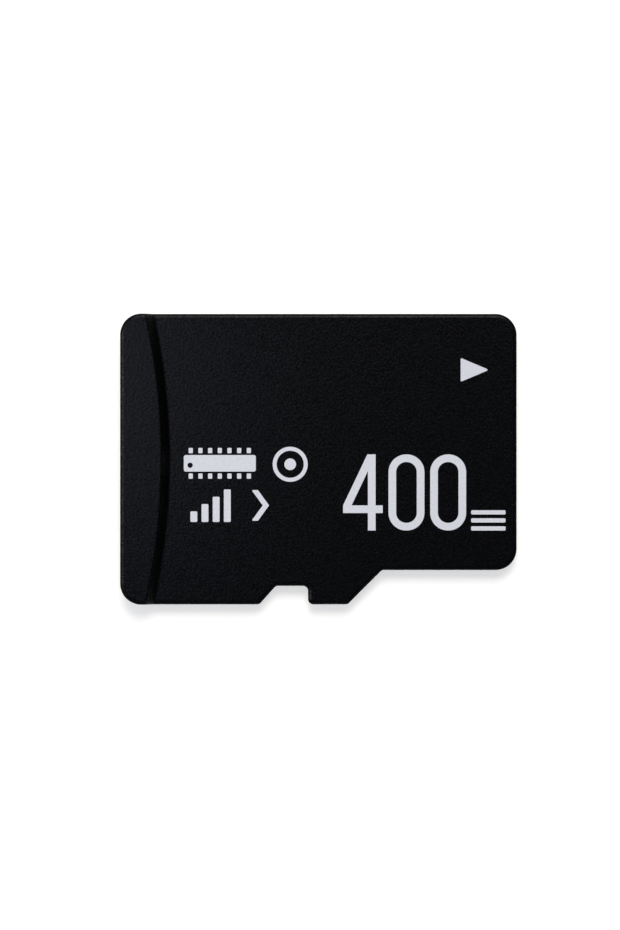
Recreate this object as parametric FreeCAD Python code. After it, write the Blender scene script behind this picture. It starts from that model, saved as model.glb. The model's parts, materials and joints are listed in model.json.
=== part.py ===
"""Small flash memory card, moulded over a laminate that carries its chips and its contacts.

The origin lies under the middle of the card, on the underside. +X points to the contact
end, +Y to the straight long edge and +Z out of the printed face. Lengths are in millimetres.
"""
import FreeCAD
import Part

import math
import os

# Outline, seen from the printed face
CARD_LENGTH = 15.0
CARD_WIDTH = 11.0
CORNER_RADIUS = 0.8
BEND_RADIUS = 0.2
SHOULDER_DEPTH = 1.3
SHOULDER_SETBACK = 6.4
TAB_LENGTH = 1.5
NOTCH_MOUTH = 1.84
NOTCH_DEPTH = 0.7
NOTCH_RAMP_RUN = 0.62

# Section through the card
BODY_THICKNESS = 0.7
SUBSTRATE_THICKNESS = 0.2
EDGE_RADIUS = 0.1

# Finger lip across the rear end
LIP_HEIGHT = 0.3
LIP_REACH = 1.55
LIP_ARC_RADIUS = 25.0
LIP_DRAFT_DEGREES = 45.0
LIP_CREST_RADIUS = 0.12
LIP_ROOT_RADIUS = 0.1

# Contacts on the underside, in order from the notched edge
CONTACT_NAMES = ("data_2", "data_3", "command", "supply", "clock", "ground", "data_0", "data_1")
LEADING_CONTACTS = ("supply", "ground")
CONTACT_PITCH = 1.1
CONTACT_WIDTH = 0.8
CONTACT_LENGTH = 2.9
CONTACT_SETBACK = 1.1
CONTACT_LEAD = 0.3
CONTACT_CORNER_RADIUS = 0.1
CONTACT_THICKNESS = 0.035
CONTACT_RECESS = 0.02

# Stack of memory dies, each stepped back to bare the bond pads of the one below
MEMORY_DIE_COUNT = 4
MEMORY_DIE_LENGTH = 8.8
MEMORY_DIE_WIDTH = 7.6
MEMORY_DIE_THICKNESS = 0.05
MEMORY_DIE_STEP = 0.3
MEMORY_REAR_MARGIN = 0.8
ATTACH_FILM_THICKNESS = 0.01

# Controller die, in front of the stack
CONTROLLER_LENGTH = 1.8
CONTROLLER_WIDTH = 3.0
CONTROLLER_THICKNESS = 0.1
CONTROLLER_GAP = 1.2

# Chip capacitors and resistors, in two columns beside the controller
CHIP_LENGTH = 0.6
CHIP_WIDTH = 0.3
CHIP_CAP_LENGTH = 0.12
CHIP_CAP_STEP = 0.015
CAPACITOR_HEIGHT = 0.3
RESISTOR_HEIGHT = 0.2
CHIP_SPACING = 0.6
CHIP_GAP = 0.5
CAPACITOR_COUNT = 3
RESISTOR_COUNT = 3

# Bond wires, drawn with a square section
WIRE_WIDTH = 0.025
WIRE_LOOP = 0.07
WIRE_CREST_SHARE = 0.4
WIRE_FOOT = 0.03
WIRE_PAD_INSET = 0.15
WIRE_PAD_SPLIT = 0.04
WIRE_FINGER_REACH = 0.3
MEMORY_WIRE_COUNT = 12
MEMORY_WIRE_PITCH = 0.55
CONTROLLER_WIRE_COUNT = 9
CONTROLLER_WIRE_PITCH = 0.3

# Places worked out from the sizes above
REAR_X = -CARD_LENGTH / 2
NOSE_X = CARD_LENGTH / 2
STRAIGHT_Y = CARD_WIDTH / 2
NOTCHED_Y = -CARD_WIDTH / 2
NOSE_EDGE_Y = NOTCHED_Y + SHOULDER_DEPTH
NOTCH_FLOOR_Y = NOTCHED_Y + NOTCH_DEPTH
SHOULDER_FOOT_X = NOSE_X - SHOULDER_SETBACK
NOTCH_FRONT_X = SHOULDER_FOOT_X - TAB_LENGTH
NOTCH_REAR_X = NOTCH_FRONT_X - NOTCH_MOUTH
NOSE_MIDDLE_Y = (STRAIGHT_Y + NOSE_EDGE_Y) / 2
LIP_TOP_Z = BODY_THICKNESS + LIP_HEIGHT
MEMORY_MIDDLE_Y = (STRAIGHT_Y + NOTCH_FLOOR_Y) / 2
MEMORY_LEVEL_HEIGHT = ATTACH_FILM_THICKNESS + MEMORY_DIE_THICKNESS
MEMORY_REAR_X = REAR_X + MEMORY_REAR_MARGIN + (MEMORY_DIE_COUNT - 1) * MEMORY_DIE_STEP
MEMORY_FRONT_X = MEMORY_REAR_X + MEMORY_DIE_LENGTH
CONTROLLER_REAR_X = MEMORY_FRONT_X + CONTROLLER_GAP
CONTROLLER_FRONT_X = CONTROLLER_REAR_X + CONTROLLER_LENGTH
CONTROLLER_TOP_Z = SUBSTRATE_THICKNESS + ATTACH_FILM_THICKNESS + CONTROLLER_THICKNESS

UP = FreeCAD.Vector(0, 0, 1)


def point(x, y, z=0.0):
    return FreeCAD.Vector(x, y, z)


def box(low_x, middle_y, low_z, length, width, height):
    """Block with its rear face at low_x, centred across the card on middle_y."""
    return Part.makeBox(length, width, height, point(low_x, middle_y - width / 2, low_z))


def rounded_wire(corners):
    """Closed wire through (x, y, radius) corners, with each corner rounded by a tangent arc."""
    edges = []
    previous_end = None
    first_start = None
    count = len(corners)
    for index, (x, y, radius) in enumerate(corners):
        corner = point(x, y)
        before = point(*corners[index - 1][:2]) - corner
        after = point(*corners[(index + 1) % count][:2]) - corner
        before.normalize()
        after.normalize()
        half_opening = before.getAngle(after) / 2
        tangent = radius / math.tan(half_opening)
        inward = before + after
        inward.normalize()
        start = corner + before * tangent
        crest = corner + inward * (radius / math.sin(half_opening) - radius)
        end = corner + after * tangent
        if previous_end is not None:
            edges.append(Part.LineSegment(previous_end, start).toShape())
        else:
            first_start = start
        edges.append(Part.Arc(start, crest, end).toShape())
        previous_end = end
    edges.append(Part.LineSegment(previous_end, first_start).toShape())
    return Part.Wire(edges)


def prism(wire, low_z, high_z):
    """Solid that fills a flat wire between two heights."""
    solid = Part.Face(wire).extrude(UP * (high_z - low_z))
    solid.translate(UP * low_z)
    return solid


def card_wire():
    """Outline of the card, with the latch notch and the shoulder on one long edge."""
    return rounded_wire([
        (REAR_X, STRAIGHT_Y, CORNER_RADIUS),
        (REAR_X, NOTCHED_Y, CORNER_RADIUS),
        (NOTCH_REAR_X, NOTCHED_Y, BEND_RADIUS),
        (NOTCH_REAR_X + NOTCH_RAMP_RUN, NOTCH_FLOOR_Y, BEND_RADIUS),
        (NOTCH_FRONT_X, NOTCH_FLOOR_Y, BEND_RADIUS),
        (NOTCH_FRONT_X, NOTCHED_Y, BEND_RADIUS),
        (SHOULDER_FOOT_X, NOTCHED_Y, BEND_RADIUS),
        (SHOULDER_FOOT_X + SHOULDER_DEPTH, NOSE_EDGE_Y, BEND_RADIUS),
        (NOSE_X, NOSE_EDGE_Y, CORNER_RADIUS),
        (NOSE_X, STRAIGHT_Y, CORNER_RADIUS),
    ])


def lip_envelope():
    """Round of the printed face, turned about the upright axis at the centre of the lip's arc.

    The lip is the raised disc in its middle. Its wall leans outwards to a filleted root.
    """
    axis_x = REAR_X + LIP_REACH - LIP_ARC_RADIUS
    reach = CARD_LENGTH + LIP_ARC_RADIUS
    lean = math.radians(LIP_DRAFT_DEGREES)
    half_turn = (math.pi / 2 - lean) / 2
    wall = FreeCAD.Vector(math.sin(lean), 0, -math.cos(lean))
    outwards = FreeCAD.Vector(1, 0, 0)
    crest = FreeCAD.Vector(LIP_ARC_RADIUS, 0, LIP_TOP_Z)
    root = crest + wall * (LIP_HEIGHT / math.cos(lean))
    crest_run = LIP_CREST_RADIUS * math.tan(half_turn)
    root_run = LIP_ROOT_RADIUS * math.tan(half_turn)

    def arc_about(corner, run, radius, into, out_of):
        towards_centre = out_of - into
        towards_centre.normalize()
        middle = corner + towards_centre * (radius / math.cos(half_turn) - radius)
        return Part.Arc(corner - into * run, middle, corner + out_of * run)

    crest_arc = arc_about(crest, crest_run, LIP_CREST_RADIUS, outwards, wall)
    root_arc = arc_about(root, root_run, LIP_ROOT_RADIUS, wall, outwards)
    points = [
        root_arc.EndPoint,
        FreeCAD.Vector(reach, 0, BODY_THICKNESS),
        FreeCAD.Vector(reach, 0, SUBSTRATE_THICKNESS),
        FreeCAD.Vector(0, 0, SUBSTRATE_THICKNESS),
        FreeCAD.Vector(0, 0, LIP_TOP_Z),
        crest_arc.StartPoint,
    ]
    edges = [crest_arc.toShape(), Part.LineSegment(crest_arc.EndPoint, root_arc.StartPoint).toShape()]
    edges.append(root_arc.toShape())
    edges.extend(Part.LineSegment(a, b).toShape() for a, b in zip(points, points[1:]))
    section = Part.Face(Part.Wire(edges))
    section.rotate(FreeCAD.Vector(), UP, 180)
    envelope = section.revolve(FreeCAD.Vector(), UP, 360)
    envelope.translate(FreeCAD.Vector(axis_x, 0, 0))
    return envelope


def face_rim(solid, wire):
    """Edges where the printed face meets the upright wall that stands on the card's outline."""
    rim = []
    for edge in solid.Edges:
        start, end = (vertex.Point for vertex in (edge.Vertexes[0], edge.Vertexes[-1]))
        upright = math.hypot(end.x - start.x, end.y - start.y) < 1e-6
        middle = edge.valueAt((edge.FirstParameter + edge.LastParameter) / 2)
        above_base = middle.z > SUBSTRATE_THICKNESS + 1e-6
        on_outline = wire.distToShape(Part.Vertex(middle.x, middle.y, 0))[0] < 1e-4
        if above_base and on_outline and not upright:
            rim.append(edge)
    return rim


def moulded_body(embedded):
    """Black moulding with the finger lip, cast round everything that stands on the substrate."""
    wire = card_wire()
    blank = prism(wire, SUBSTRATE_THICKNESS, LIP_TOP_Z + LIP_HEIGHT).common(lip_envelope())
    blank = blank.makeFillet(EDGE_RADIUS, face_rim(blank, wire))
    return blank.cut(embedded)


def contact_wires():
    """Outline of each contact by name. The leading pair reaches further towards the nose."""
    wires = {}
    rear_x = NOSE_X - CONTACT_SETBACK - CONTACT_LENGTH
    first_y = NOSE_MIDDLE_Y - CONTACT_PITCH * (len(CONTACT_NAMES) - 1) / 2
    for index, name in enumerate(CONTACT_NAMES):
        middle_y = first_y + index * CONTACT_PITCH
        front_x = NOSE_X - CONTACT_SETBACK
        if name in LEADING_CONTACTS:
            front_x += CONTACT_LEAD
        low_y = middle_y - CONTACT_WIDTH / 2
        high_y = middle_y + CONTACT_WIDTH / 2
        places = [(rear_x, low_y), (front_x, low_y), (front_x, high_y), (rear_x, high_y)]
        wires[name] = rounded_wire([(x, y, CONTACT_CORNER_RADIUS) for x, y in places])
    return wires


def contacts():
    """Plated contact pads, a little below the flush of the underside."""
    high_z = CONTACT_RECESS + CONTACT_THICKNESS
    return {name: prism(wire, CONTACT_RECESS, high_z) for name, wire in contact_wires().items()}


def substrate():
    """Laminate of the card's outline, with a window in its underside for each contact."""
    depth = CONTACT_RECESS + CONTACT_THICKNESS
    windows = [prism(wire, -depth, depth) for wire in contact_wires().values()]
    return prism(card_wire(), 0, SUBSTRATE_THICKNESS).cut(Part.makeCompound(windows))


def memory_level(level):
    """Attach film and die of one level of the stack, counted from the substrate."""
    rear_x = MEMORY_REAR_X - level * MEMORY_DIE_STEP
    low_z = SUBSTRATE_THICKNESS + level * MEMORY_LEVEL_HEIGHT
    die_z = low_z + ATTACH_FILM_THICKNESS
    plan = (MEMORY_DIE_LENGTH, MEMORY_DIE_WIDTH)
    film = box(rear_x, MEMORY_MIDDLE_Y, low_z, *plan, ATTACH_FILM_THICKNESS)
    die = box(rear_x, MEMORY_MIDDLE_Y, die_z, *plan, MEMORY_DIE_THICKNESS)
    return film, die


def controller():
    """Attach film and die of the controller."""
    plan = (CONTROLLER_LENGTH, CONTROLLER_WIDTH)
    film_place = (CONTROLLER_REAR_X, NOSE_MIDDLE_Y, SUBSTRATE_THICKNESS)
    die_place = (CONTROLLER_REAR_X, NOSE_MIDDLE_Y, SUBSTRATE_THICKNESS + ATTACH_FILM_THICKNESS)
    film = box(*film_place, *plan, ATTACH_FILM_THICKNESS)
    die = box(*die_place, *plan, CONTROLLER_THICKNESS)
    return film, die


def chip(rear_x, middle_y, height):
    """Chip capacitor or resistor: a ceramic block between two thicker plated end caps."""
    front_cap_x = rear_x + CHIP_LENGTH - CHIP_CAP_LENGTH
    waist_place = (rear_x, middle_y, SUBSTRATE_THICKNESS + CHIP_CAP_STEP)
    waist_section = (CHIP_WIDTH - 2 * CHIP_CAP_STEP, height - 2 * CHIP_CAP_STEP)
    waist = box(*waist_place, CHIP_LENGTH, *waist_section)
    cap_section = (CHIP_CAP_LENGTH, CHIP_WIDTH, height)
    caps = [box(x, middle_y, SUBSTRATE_THICKNESS, *cap_section) for x in (rear_x, front_cap_x)]
    return waist.multiFuse(caps).removeSplitter()


def chips():
    """Capacitors on the straight-edge side of the controller and resistors on the other."""
    made = {}
    rear_x = CONTROLLER_REAR_X + (CONTROLLER_LENGTH - CHIP_LENGTH) / 2
    first_offset = CONTROLLER_WIDTH / 2 + CHIP_GAP + CHIP_WIDTH / 2
    for kind, count, side, height in (
        ("capacitor", CAPACITOR_COUNT, 1, CAPACITOR_HEIGHT),
        ("resistor", RESISTOR_COUNT, -1, RESISTOR_HEIGHT),
    ):
        for index in range(count):
            middle_y = NOSE_MIDDLE_Y + side * (first_offset + index * CHIP_SPACING)
            made[f"{kind}_{index + 1}"] = chip(rear_x, middle_y, height)
    return made


def bond_wire(start_x, start_z, landing_x, landing_z, middle_y):
    """Wire that rises from a pad, runs level, slopes down and lands on a lower pad."""
    loop_z = start_z + WIRE_LOOP
    crest_x = start_x + WIRE_CREST_SHARE * (landing_x - start_x)
    path = [
        FreeCAD.Vector(start_x, middle_y, start_z),
        FreeCAD.Vector(start_x, middle_y, loop_z),
        FreeCAD.Vector(crest_x, middle_y, loop_z),
        FreeCAD.Vector(landing_x, middle_y, landing_z + WIRE_FOOT),
        FreeCAD.Vector(landing_x, middle_y, landing_z),
    ]
    sideways = FreeCAD.Vector(0, WIRE_WIDTH / 2, 0)
    directions = [(b - a).normalize() for a, b in zip(path, path[1:])]
    normals = [FreeCAD.Vector(d.z, 0, -d.x) for d in directions]
    mitres = [normals[0]]
    for one, other in zip(normals, normals[1:]):
        mitres.append((one + other) / (1 + one.dot(other)))
    mitres.append(normals[-1])
    offsets = [mitre * (WIRE_WIDTH / 2) for mitre in mitres]
    ring = [p + offset for p, offset in zip(path, offsets)]
    ring += [p - offset for p, offset in zip(reversed(path), reversed(offsets))]
    ring = [p - sideways for p in ring]
    face = Part.Face(Part.makePolygon(ring + ring[:1]))
    return face.extrude(sideways * 2)


def wire_rows(count, pitch, middle_y):
    """Places across the card of a row of bond wires."""
    return [middle_y + (index - (count - 1) / 2) * pitch for index in range(count)]


def memory_wires():
    """Wires that step down the stack, die by die, and end on the substrate."""
    wires = []
    for level in range(MEMORY_DIE_COUNT):
        pad_x = MEMORY_FRONT_X - level * MEMORY_DIE_STEP - WIRE_PAD_INSET
        pad_z = SUBSTRATE_THICKNESS + (level + 1) * MEMORY_LEVEL_HEIGHT
        landing_x = pad_x + MEMORY_DIE_STEP - WIRE_PAD_SPLIT
        if level == 0:
            landing_x = MEMORY_FRONT_X + WIRE_FINGER_REACH
        landing_z = pad_z - MEMORY_LEVEL_HEIGHT
        for y in wire_rows(MEMORY_WIRE_COUNT, MEMORY_WIRE_PITCH, MEMORY_MIDDLE_Y):
            wires.append(bond_wire(pad_x + WIRE_PAD_SPLIT, pad_z, landing_x, landing_z, y))
    return Part.makeCompound(wires)


def controller_wires():
    """Wires from the two long edges of the controller to the substrate."""
    wires = []
    for edge_x, outwards in ((CONTROLLER_REAR_X, -1), (CONTROLLER_FRONT_X, 1)):
        start_x = edge_x - outwards * WIRE_PAD_INSET
        landing_x = edge_x + outwards * WIRE_FINGER_REACH
        for y in wire_rows(CONTROLLER_WIRE_COUNT, CONTROLLER_WIRE_PITCH, NOSE_MIDDLE_Y):
            wires.append(bond_wire(start_x, CONTROLLER_TOP_Z, landing_x, SUBSTRATE_THICKNESS, y))
    return Part.makeCompound(wires)


def embedded_pieces():
    """Everything that stands on the substrate inside the moulding, by node name."""
    pieces = {}
    for level in range(MEMORY_DIE_COUNT):
        film, die = memory_level(level)
        pieces[f"memory_film_{level + 1}"] = film
        pieces[f"memory_die_{level + 1}"] = die
    pieces["controller_film"], pieces["controller_die"] = controller()
    pieces.update(chips())
    pieces["memory_bond_wires"] = memory_wires()
    pieces["controller_bond_wires"] = controller_wires()
    return pieces


def main():
    embedded = embedded_pieces()
    pieces = dict(embedded)
    pieces["moulded_body"] = moulded_body(list(embedded.values()))
    pieces["substrate"] = substrate()
    for name, pad in contacts().items():
        pieces[f"contact_{name}"] = pad
    os.makedirs("parts", exist_ok=True)
    for name, shape in pieces.items():
        shape.exportStep(f"parts/{name}.step")
        print(f"{name}: {len(shape.Solids)} solid(s), {shape.Volume:.4f} mm3, valid {shape.isValid()}")


main()
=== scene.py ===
# %% [markdown]
# A small memory card, dressed over its solids
# The card is a thin black moulding over a laminate, with gold contacts underneath and white
# marks printed on top. Its solids were made to size beforehand. They are loaded here as a fixed
# frame in metres: +X points to the contact end, +Y to the straight long edge, and the printed
# face looks up. Each step says what the real piece is, how it could be made, and why it is
# made this way.

# %% Load the solids
import json
import math

import bmesh
import bpy
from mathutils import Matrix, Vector

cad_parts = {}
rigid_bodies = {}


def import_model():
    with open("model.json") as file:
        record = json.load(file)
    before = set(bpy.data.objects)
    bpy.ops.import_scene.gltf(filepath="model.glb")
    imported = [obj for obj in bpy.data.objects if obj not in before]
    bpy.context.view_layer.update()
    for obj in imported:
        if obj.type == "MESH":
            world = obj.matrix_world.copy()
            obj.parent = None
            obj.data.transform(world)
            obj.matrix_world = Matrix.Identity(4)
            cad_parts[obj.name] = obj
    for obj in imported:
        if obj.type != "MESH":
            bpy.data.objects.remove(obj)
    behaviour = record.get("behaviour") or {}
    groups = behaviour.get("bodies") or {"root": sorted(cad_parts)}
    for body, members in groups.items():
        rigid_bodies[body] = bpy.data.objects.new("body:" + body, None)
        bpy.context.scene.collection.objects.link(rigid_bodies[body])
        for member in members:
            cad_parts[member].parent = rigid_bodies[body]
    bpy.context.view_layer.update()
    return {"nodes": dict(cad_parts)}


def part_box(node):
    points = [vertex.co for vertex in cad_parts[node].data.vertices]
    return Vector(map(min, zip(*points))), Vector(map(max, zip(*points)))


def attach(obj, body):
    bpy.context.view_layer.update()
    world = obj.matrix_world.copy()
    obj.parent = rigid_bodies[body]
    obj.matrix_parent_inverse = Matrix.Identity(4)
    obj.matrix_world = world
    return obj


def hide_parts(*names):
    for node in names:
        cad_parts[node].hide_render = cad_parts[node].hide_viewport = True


MM = 0.001

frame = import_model()
body_low, body_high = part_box("moulded_body")
board_low, board_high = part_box("substrate")
scene = bpy.context.scene

# %% [markdown]
# Small tools
# Colours are written as the hex values that a paint program shows, so one function turns them
# into the linear light that a shader works with. A node tree is mostly the same three acts: add
# a node, set it, link it. One function does all three, and every tree below uses it. The other
# small functions put data into the scene as an object, keep what its modifiers make of it, and
# measure it.


# %% Colours and nodes
def linear(hex_colour):
    """Linear RGBA of an sRGB colour such as "#D1D4DD"."""
    channels = [int(hex_colour[place:place + 2], 16) / 255 for place in (1, 3, 5)]
    return [c / 12.92 if c <= 0.04045 else ((c + 0.055) / 1.055) ** 2.4 for c in channels] + [1.0]


def add_node(tree, kind, inputs=None, **settings):
    """Adds a node with its settings.

    An input takes a value, or what to link: an output, a node for its first output, or a list
    of these.
    """
    node = tree.nodes.new(kind)
    for name, value in settings.items():
        setattr(node, name, value)
    for socket, value in (inputs or {}).items():
        given = value if isinstance(value, list) else [value]
        sources = [each.outputs[0] if isinstance(each, bpy.types.Node) else each for each in given]
        if isinstance(sources[0], bpy.types.NodeSocket):
            for source in sources:
                tree.links.new(source, node.inputs[socket])
        else:
            node.inputs[socket].default_value = value
    return node


print("middle grey is", round(linear("#808080")[0], 3), "in linear light")

# %% Objects and meshes
SHARP_ANGLE = math.radians(30)


def add_object(name, data):
    """Object that holds this data, at the origin and in the scene."""
    added = bpy.data.objects.new(name, data)
    scene.collection.objects.link(added)
    return added


def plain_mesh(name, bm):
    """Mesh of what was built in an edit mesh, which is freed."""
    mesh = bpy.data.meshes.new(name)
    bm.to_mesh(mesh)
    bm.free()
    return mesh


def evaluated_mesh(holder):
    """Plain mesh of an object as its modifiers leave it, smooth but for its sharp edges."""
    bpy.context.view_layer.update()
    graph = bpy.context.evaluated_depsgraph_get()
    mesh = bpy.data.meshes.new_from_object(holder.evaluated_get(graph), depsgraph=graph)
    mesh.shade_smooth()
    mesh.set_sharp_from_angle(angle=SHARP_ANGLE)
    return mesh


def settle(piece):
    """Keeps what a piece's modifiers make as its plain mesh, and takes the modifiers off."""
    mesh = evaluated_mesh(piece)
    mesh.name = piece.name
    piece.modifiers.clear()
    piece.data = mesh
    return piece


def report(piece):
    """Prints a piece's size, its volume and triangles, and whether it is closed.

    The volume is above zero where the faces point outwards.
    """
    bm = bmesh.new()
    bm.from_mesh(piece.data)
    size = [round(length / MM, 3) for length in piece.dimensions]
    volume = round(bm.calc_volume(signed=True) / MM ** 3, 4)
    state = "closed" if all(edge.is_manifold for edge in bm.edges) else "open"
    print(piece.name, size, "mm,", volume, "mm3,", len(bm.calc_loop_triangles()), "triangles,", state)
    bm.free()


# %% [markdown]
# The studio
# The card lies on a white sheet and the camera looks straight down on it through a long lens,
# so that no side wall shows. A flat black face mirrors what is straight above it, so the ceiling
# is dim, and a small lamp close above the rear end gives the face a sheen that fades towards the
# nose. The rounded rim mirrors what stands lower: the window and the left softbox draw a thin
# light line just inside the edge. A band of light runs round the room, but it is dim towards the
# contact end, which the step of the lip mirrors, so that the step stays black. Of the lamps, the
# window alone casts a shadow, so that the sheet stays white along the other edges.

# %% Camera
# In an upright picture the sensor's width lies along the height.
IMAGE_SIZE = (620, 930)
PIXELS_PER_MM = 26.42
CARD_MIDDLE_PIXEL = (318.6, 459.15)
LENS = 120.0
SENSOR = 36.0
CLIP_RANGE = (1 * MM, 10.0)
FACE_Z = 0.7 * MM

camera_data = bpy.data.cameras.new("overhead_camera")
camera_data.lens = LENS
camera_data.sensor_width = SENSOR
camera_data.clip_start, camera_data.clip_end = CLIP_RANGE
camera = add_object("overhead_camera", camera_data)
camera_height = IMAGE_SIZE[1] / PIXELS_PER_MM * MM * LENS / SENSOR
camera.location = (
    (IMAGE_SIZE[0] / 2 - CARD_MIDDLE_PIXEL[0]) / PIXELS_PER_MM * MM,
    (CARD_MIDDLE_PIXEL[1] - IMAGE_SIZE[1] / 2) / PIXELS_PER_MM * MM,
    FACE_Z + camera_height,
)
scene.camera = camera
scene.view_settings.view_transform = "Standard"
print("camera", round(camera_height / MM, 1), "mm above the face")


# %% Lamps
def add_lamp(name, place, size, white_share, hex_colour="#FFFFFF", casts=True):
    """Square lamp aimed at the card, with its place and size in millimetres.

    white_share is how far it alone lights a white face.
    """
    data = bpy.data.lights.new(name, "AREA")
    data.use_shadow = casts
    data.color = linear(hex_colour)[:3]
    data.size = size * MM
    lamp = add_object(name, data)
    lamp.location = Vector(place) * MM
    lamp.visible_camera = False
    lamp.rotation_euler = lamp.location.to_track_quat("Z", "Y").to_euler()
    distance = lamp.location.length
    slant = lamp.location.z / distance
    # The lamp and the white face each spread their light, and each spread is a division by pi.
    data.energy = white_share * math.pi ** 2 * distance ** 2 / slant
    print(name, round(data.energy, 4), "W")


add_lamp("window_softbox", place=(10, 255, 350), size=230, white_share=0.46)
add_lamp("left_softbox", place=(-220, 20, 260), size=60, white_share=0.22, casts=False)
add_lamp(
    "sheen_softbox", place=(-16, 4, 40), size=10, white_share=0.12, hex_colour="#DDE6FF", casts=False,
)

# %% Room
# Heights in the room are sines of the angle above the floor: 0 at its foot and 1 straight up.
FOOT_LIGHT = 0.01
BAND_LIGHT = 0.6
CEILING_LIGHT = 0.24
BAND_RISE = {"From Min": 0.2, "From Max": 0.4}
BAND_FALL = {"From Min": 0.55, "From Max": 0.75}
LIT_SIDE = (-1, 0, 0)
LIT_SIDE_RANGE = {"From Min": -0.95, "From Max": -0.5}
DARK_SIDE_SHARE = 0.02

room = bpy.data.worlds.new("studio_room")
scene.world = room
room.use_nodes = True
tree = room.node_tree
tree.nodes.clear()
direction = add_node(tree, "ShaderNodeTexCoord").outputs["Generated"]
height = add_node(tree, "ShaderNodeSeparateXYZ", {"Vector": direction}).outputs["Z"]
rise = add_node(tree, "ShaderNodeMapRange", {
    "Value": height, **BAND_RISE,
}, interpolation_type="SMOOTHSTEP")
fall = add_node(tree, "ShaderNodeMapRange", {
    "Value": height, **BAND_FALL, "To Min": 1.0, "To Max": 0.0,
}, interpolation_type="SMOOTHSTEP")
band = add_node(tree, "ShaderNodeMath", {0: rise, 1: fall}, operation="MULTIPLY")
facing = add_node(tree, "ShaderNodeVectorMath", {0: direction, 1: LIT_SIDE}, operation="DOT_PRODUCT")
side = add_node(tree, "ShaderNodeMapRange", {
    "Value": facing.outputs["Value"], **LIT_SIDE_RANGE,
    "To Min": BAND_LIGHT * DARK_SIDE_SHARE, "To Max": BAND_LIGHT,
})
plain = add_node(tree, "ShaderNodeMapRange", {
    "Value": height, **BAND_FALL, "To Min": FOOT_LIGHT, "To Max": CEILING_LIGHT,
}, interpolation_type="SMOOTHSTEP")
light = add_node(tree, "ShaderNodeMath", {0: band, 1: side, 2: plain}, operation="MULTIPLY_ADD")
air = add_node(tree, "ShaderNodeBackground", {"Color": linear("#DCE8FF"), "Strength": light})
add_node(tree, "ShaderNodeOutputWorld", {"Surface": air})
print("room, brightest", BAND_LIGHT, "of white")


# %% Start of a material
def start_material(name):
    """Empty material, its tree, and the Object coordinates that its patterns read."""
    material = bpy.data.materials.new(name)
    material.use_nodes = True
    tree = material.node_tree
    tree.nodes.clear()
    return material, tree, add_node(tree, "ShaderNodeTexCoord").outputs["Object"]


# %% Floor
# The sheet adds some light of its own to what is seen of it, less of it close to the card. That
# keeps the sheet white and still lets the card's shadow show.
FLOOR_REACH = 2.0
FLOOR_DROP = 0.002 * MM
GLOW_RANGE = {"From Min": 14 * MM, "From Max": 60 * MM, "To Min": 0.31, "To Max": 0.7}

sheet_paper, tree, place = start_material("white_paper_sheet")
ray = add_node(tree, "ShaderNodeLightPath").outputs
seen = ray["Is Camera Ray"]
for kind in ("Is Glossy Ray", "Is Transmission Ray"):
    seen = add_node(tree, "ShaderNodeMath", {0: seen, 1: ray[kind]}, operation="MAXIMUM")
away = add_node(tree, "ShaderNodeVectorMath", {0: place}, operation="LENGTH").outputs["Value"]
strength = add_node(tree, "ShaderNodeMapRange", {"Value": away, **GLOW_RANGE})
glow = add_node(tree, "ShaderNodeEmission", {"Color": linear("#FFFFFF"), "Strength": strength})
lit = add_node(tree, "ShaderNodeBsdfDiffuse", {"Color": linear("#F4EFE5")})
seen_paper = add_node(tree, "ShaderNodeAddShader", {0: lit, 1: glow})
paper = add_node(tree, "ShaderNodeBsdfDiffuse", {"Color": linear("#E4E4E4")})
either = add_node(tree, "ShaderNodeMixShader", {0: seen, 1: paper, 2: seen_paper})
add_node(tree, "ShaderNodeOutputMaterial", {"Surface": either})

floor_corners = [
    (x * FLOOR_REACH, y * FLOOR_REACH, -FLOOR_DROP) for x, y in ((-1, -1), (1, -1), (1, 1), (-1, 1))
]
floor_mesh = bpy.data.meshes.new("paper_sheet")
floor_mesh.from_pydata(floor_corners, [], [(0, 1, 2, 3)])
floor_mesh.materials.append(sheet_paper)
add_object("paper_sheet", floor_mesh)
print("floor", 2 * FLOOR_REACH, "m wide")

# %% [markdown]
# Finishes
# A finish starts from what the material is and how its surface was made. It could be painted as
# a picture, but a picture blurs close up and shows its seams. A pattern that is worked out from
# the place of each point does neither. Patterns read Object coordinates, which are metres here,
# so a pattern of a given width in millimetres repeats that many times in a metre.

# %% Material helpers
# A Mix node has sockets for each kind of value. These are the ones that mix two colours.
SHARE, FROM, TO, MIXED = 0, 6, 7, 2


def per_metre(width_mm):
    """Scale of a pattern whose grain is this wide."""
    return 1 / (width_mm * MM)


def patterned(tree, pattern, dark_hex, light_hex, dull, relief=None):
    """Inputs of a skin whose pattern, from 0 to 1, sets its colour, roughness and relief."""
    tint = add_node(tree, "ShaderNodeMix", {
        SHARE: pattern, FROM: linear(dark_hex), TO: linear(light_hex),
    }, data_type="RGBA")
    rough = add_node(tree, "ShaderNodeMapRange", {"Value": pattern, **dull})
    inputs = {"Base Color": tint.outputs[MIXED], "Roughness": rough}
    if relief:
        inputs["Normal"] = add_node(tree, "ShaderNodeBump", {"Height": pattern, **relief})
    return inputs


def close_material(tree, inputs):
    """Ends a material: its surface is a skin with these inputs."""
    skin = add_node(tree, "ShaderNodeBsdfPrincipled", inputs)
    add_node(tree, "ShaderNodeOutputMaterial", {"Surface": skin})


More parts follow.
